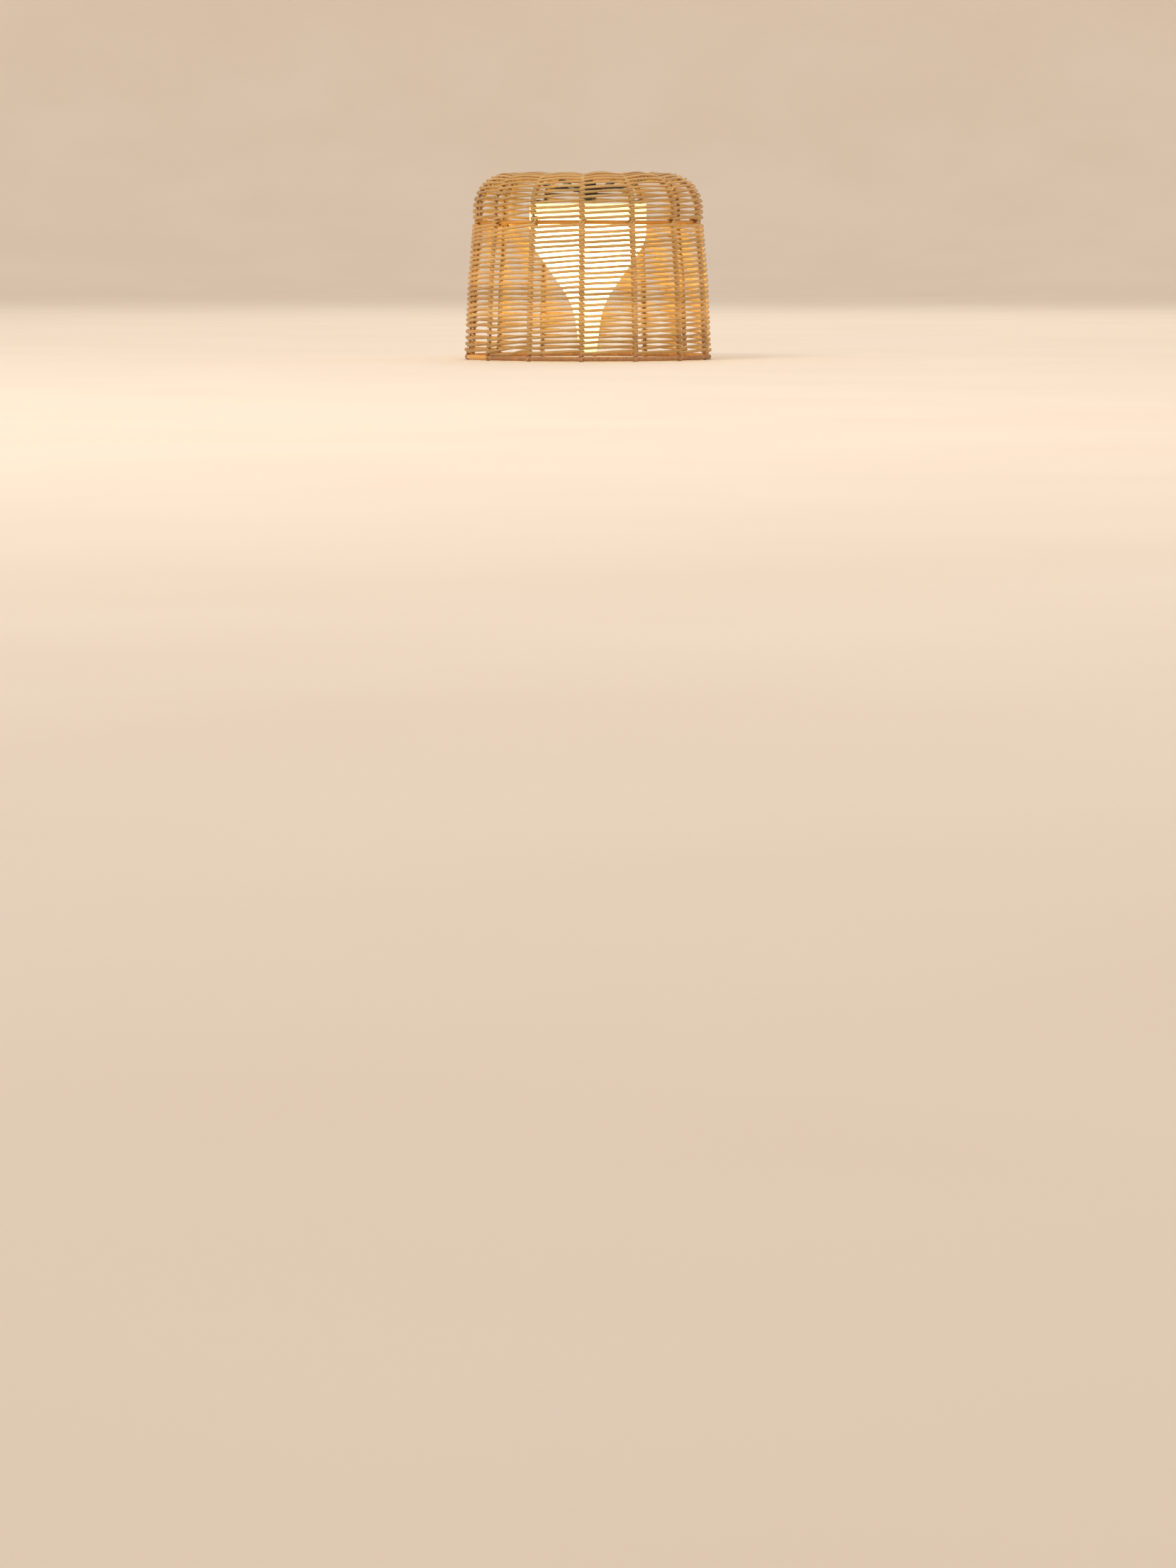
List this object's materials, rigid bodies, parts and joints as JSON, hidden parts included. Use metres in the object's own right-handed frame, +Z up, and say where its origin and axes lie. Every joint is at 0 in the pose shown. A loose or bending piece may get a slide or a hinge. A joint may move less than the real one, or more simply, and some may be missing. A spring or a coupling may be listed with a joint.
{
  "type": "lamp shade",
  "caption": "Flared round lamp shade of woven reed on a wire frame, with a drop-shaped opal diffuser held inside it by a black steel bridge and nut.",
  "frame": {"origin": "centre of the hem, on the surface that the shade stands on", "axes": "+Z up along the axis of the shade and the pole, -Y towards the front of the shade, +X to the right seen from the front"},
  "size_m": [0.3114, 0.3114, 0.2326],
  "materials": {
    "reed": "natural rattan reed, matte",
    "binding_cane": "cane strip, satin",
    "hoop_cane": "smooth peeled cane, satin",
    "frame_lacquer": "golden brown lacquer",
    "black_steel": "matt black powder coat",
    "opal": "satin opal, lit from inside",
    "bulb_opal": "satin opal, lit",
    "brass": "turned",
    "black_phenolic": "matt moulded"
  },
  "bodies": {
    "light_unit": {"carrier_bridge": "black_steel", "carrier_stud": "black_steel", "stud_locknut": "black_steel", "support_washer": "black_steel", "bridge_screws": "black_steel", "diffuser_top_plate": "opal", "diffuser_shell": "opal", "neck_set_screw": "black_steel", "holder_nipple": "brass", "lamp_holder": "black_phenolic", "holder_ring": "black_phenolic", "bulb_cap": "brass", "bulb_globe": "bulb_opal"},
    "shade": {"bottom_ring": "frame_lacquer", "bottom_ring_binding": "binding_cane", "rim_lashings": "binding_cane", "rib_01": "frame_lacquer", "rib_02": "frame_lacquer", "rib_03": "frame_lacquer", "rib_04": "frame_lacquer", "rib_05": "frame_lacquer", "rib_06": "frame_lacquer", "rib_07": "frame_lacquer", "rib_08": "frame_lacquer", "rib_09": "frame_lacquer", "rib_10": "frame_lacquer", "rib_11": "frame_lacquer", "rib_12": "frame_lacquer", "rib_13": "frame_lacquer", "rib_14": "frame_lacquer", "shoulder_hoop": "hoop_cane", "top_ring": "frame_lacquer", "top_ring_binding": "binding_cane", "side_weave": "reed", "shoulder_weave": "reed", "top_weave": "reed", "spider_hub": "black_steel", "spider_arm_1": "black_steel", "spider_arm_2": "black_steel", "spider_arm_3": "black_steel", "spider_arm_4": "black_steel"},
    "nut_washer": {"nut_washer": "black_steel"},
    "retaining_nut": {"retaining_nut": "black_steel"}
  },
  "joints": [
    {"name": "shade_swivel", "type": "hinge", "parent": "light_unit", "child": "shade", "pos_m": [0, 0, 0.2105], "axis": [0, 0, 1], "continuous": true},
    {"name": "nut_lift", "type": "slide", "parent": "light_unit", "child": "nut_washer", "axis": [0, 0, 1], "range_m": [0, 0.005]},
    {"name": "nut_turn", "type": "hinge", "parent": "nut_washer", "child": "retaining_nut", "pos_m": [0, 0, 0.218], "axis": [0, 0, 1], "range_deg": [0, 1800]}
  ],
  "couplings": [
    {"joint": "nut_lift", "follows": "nut_turn", "m_per_rad": 0.00015915}
  ]
}
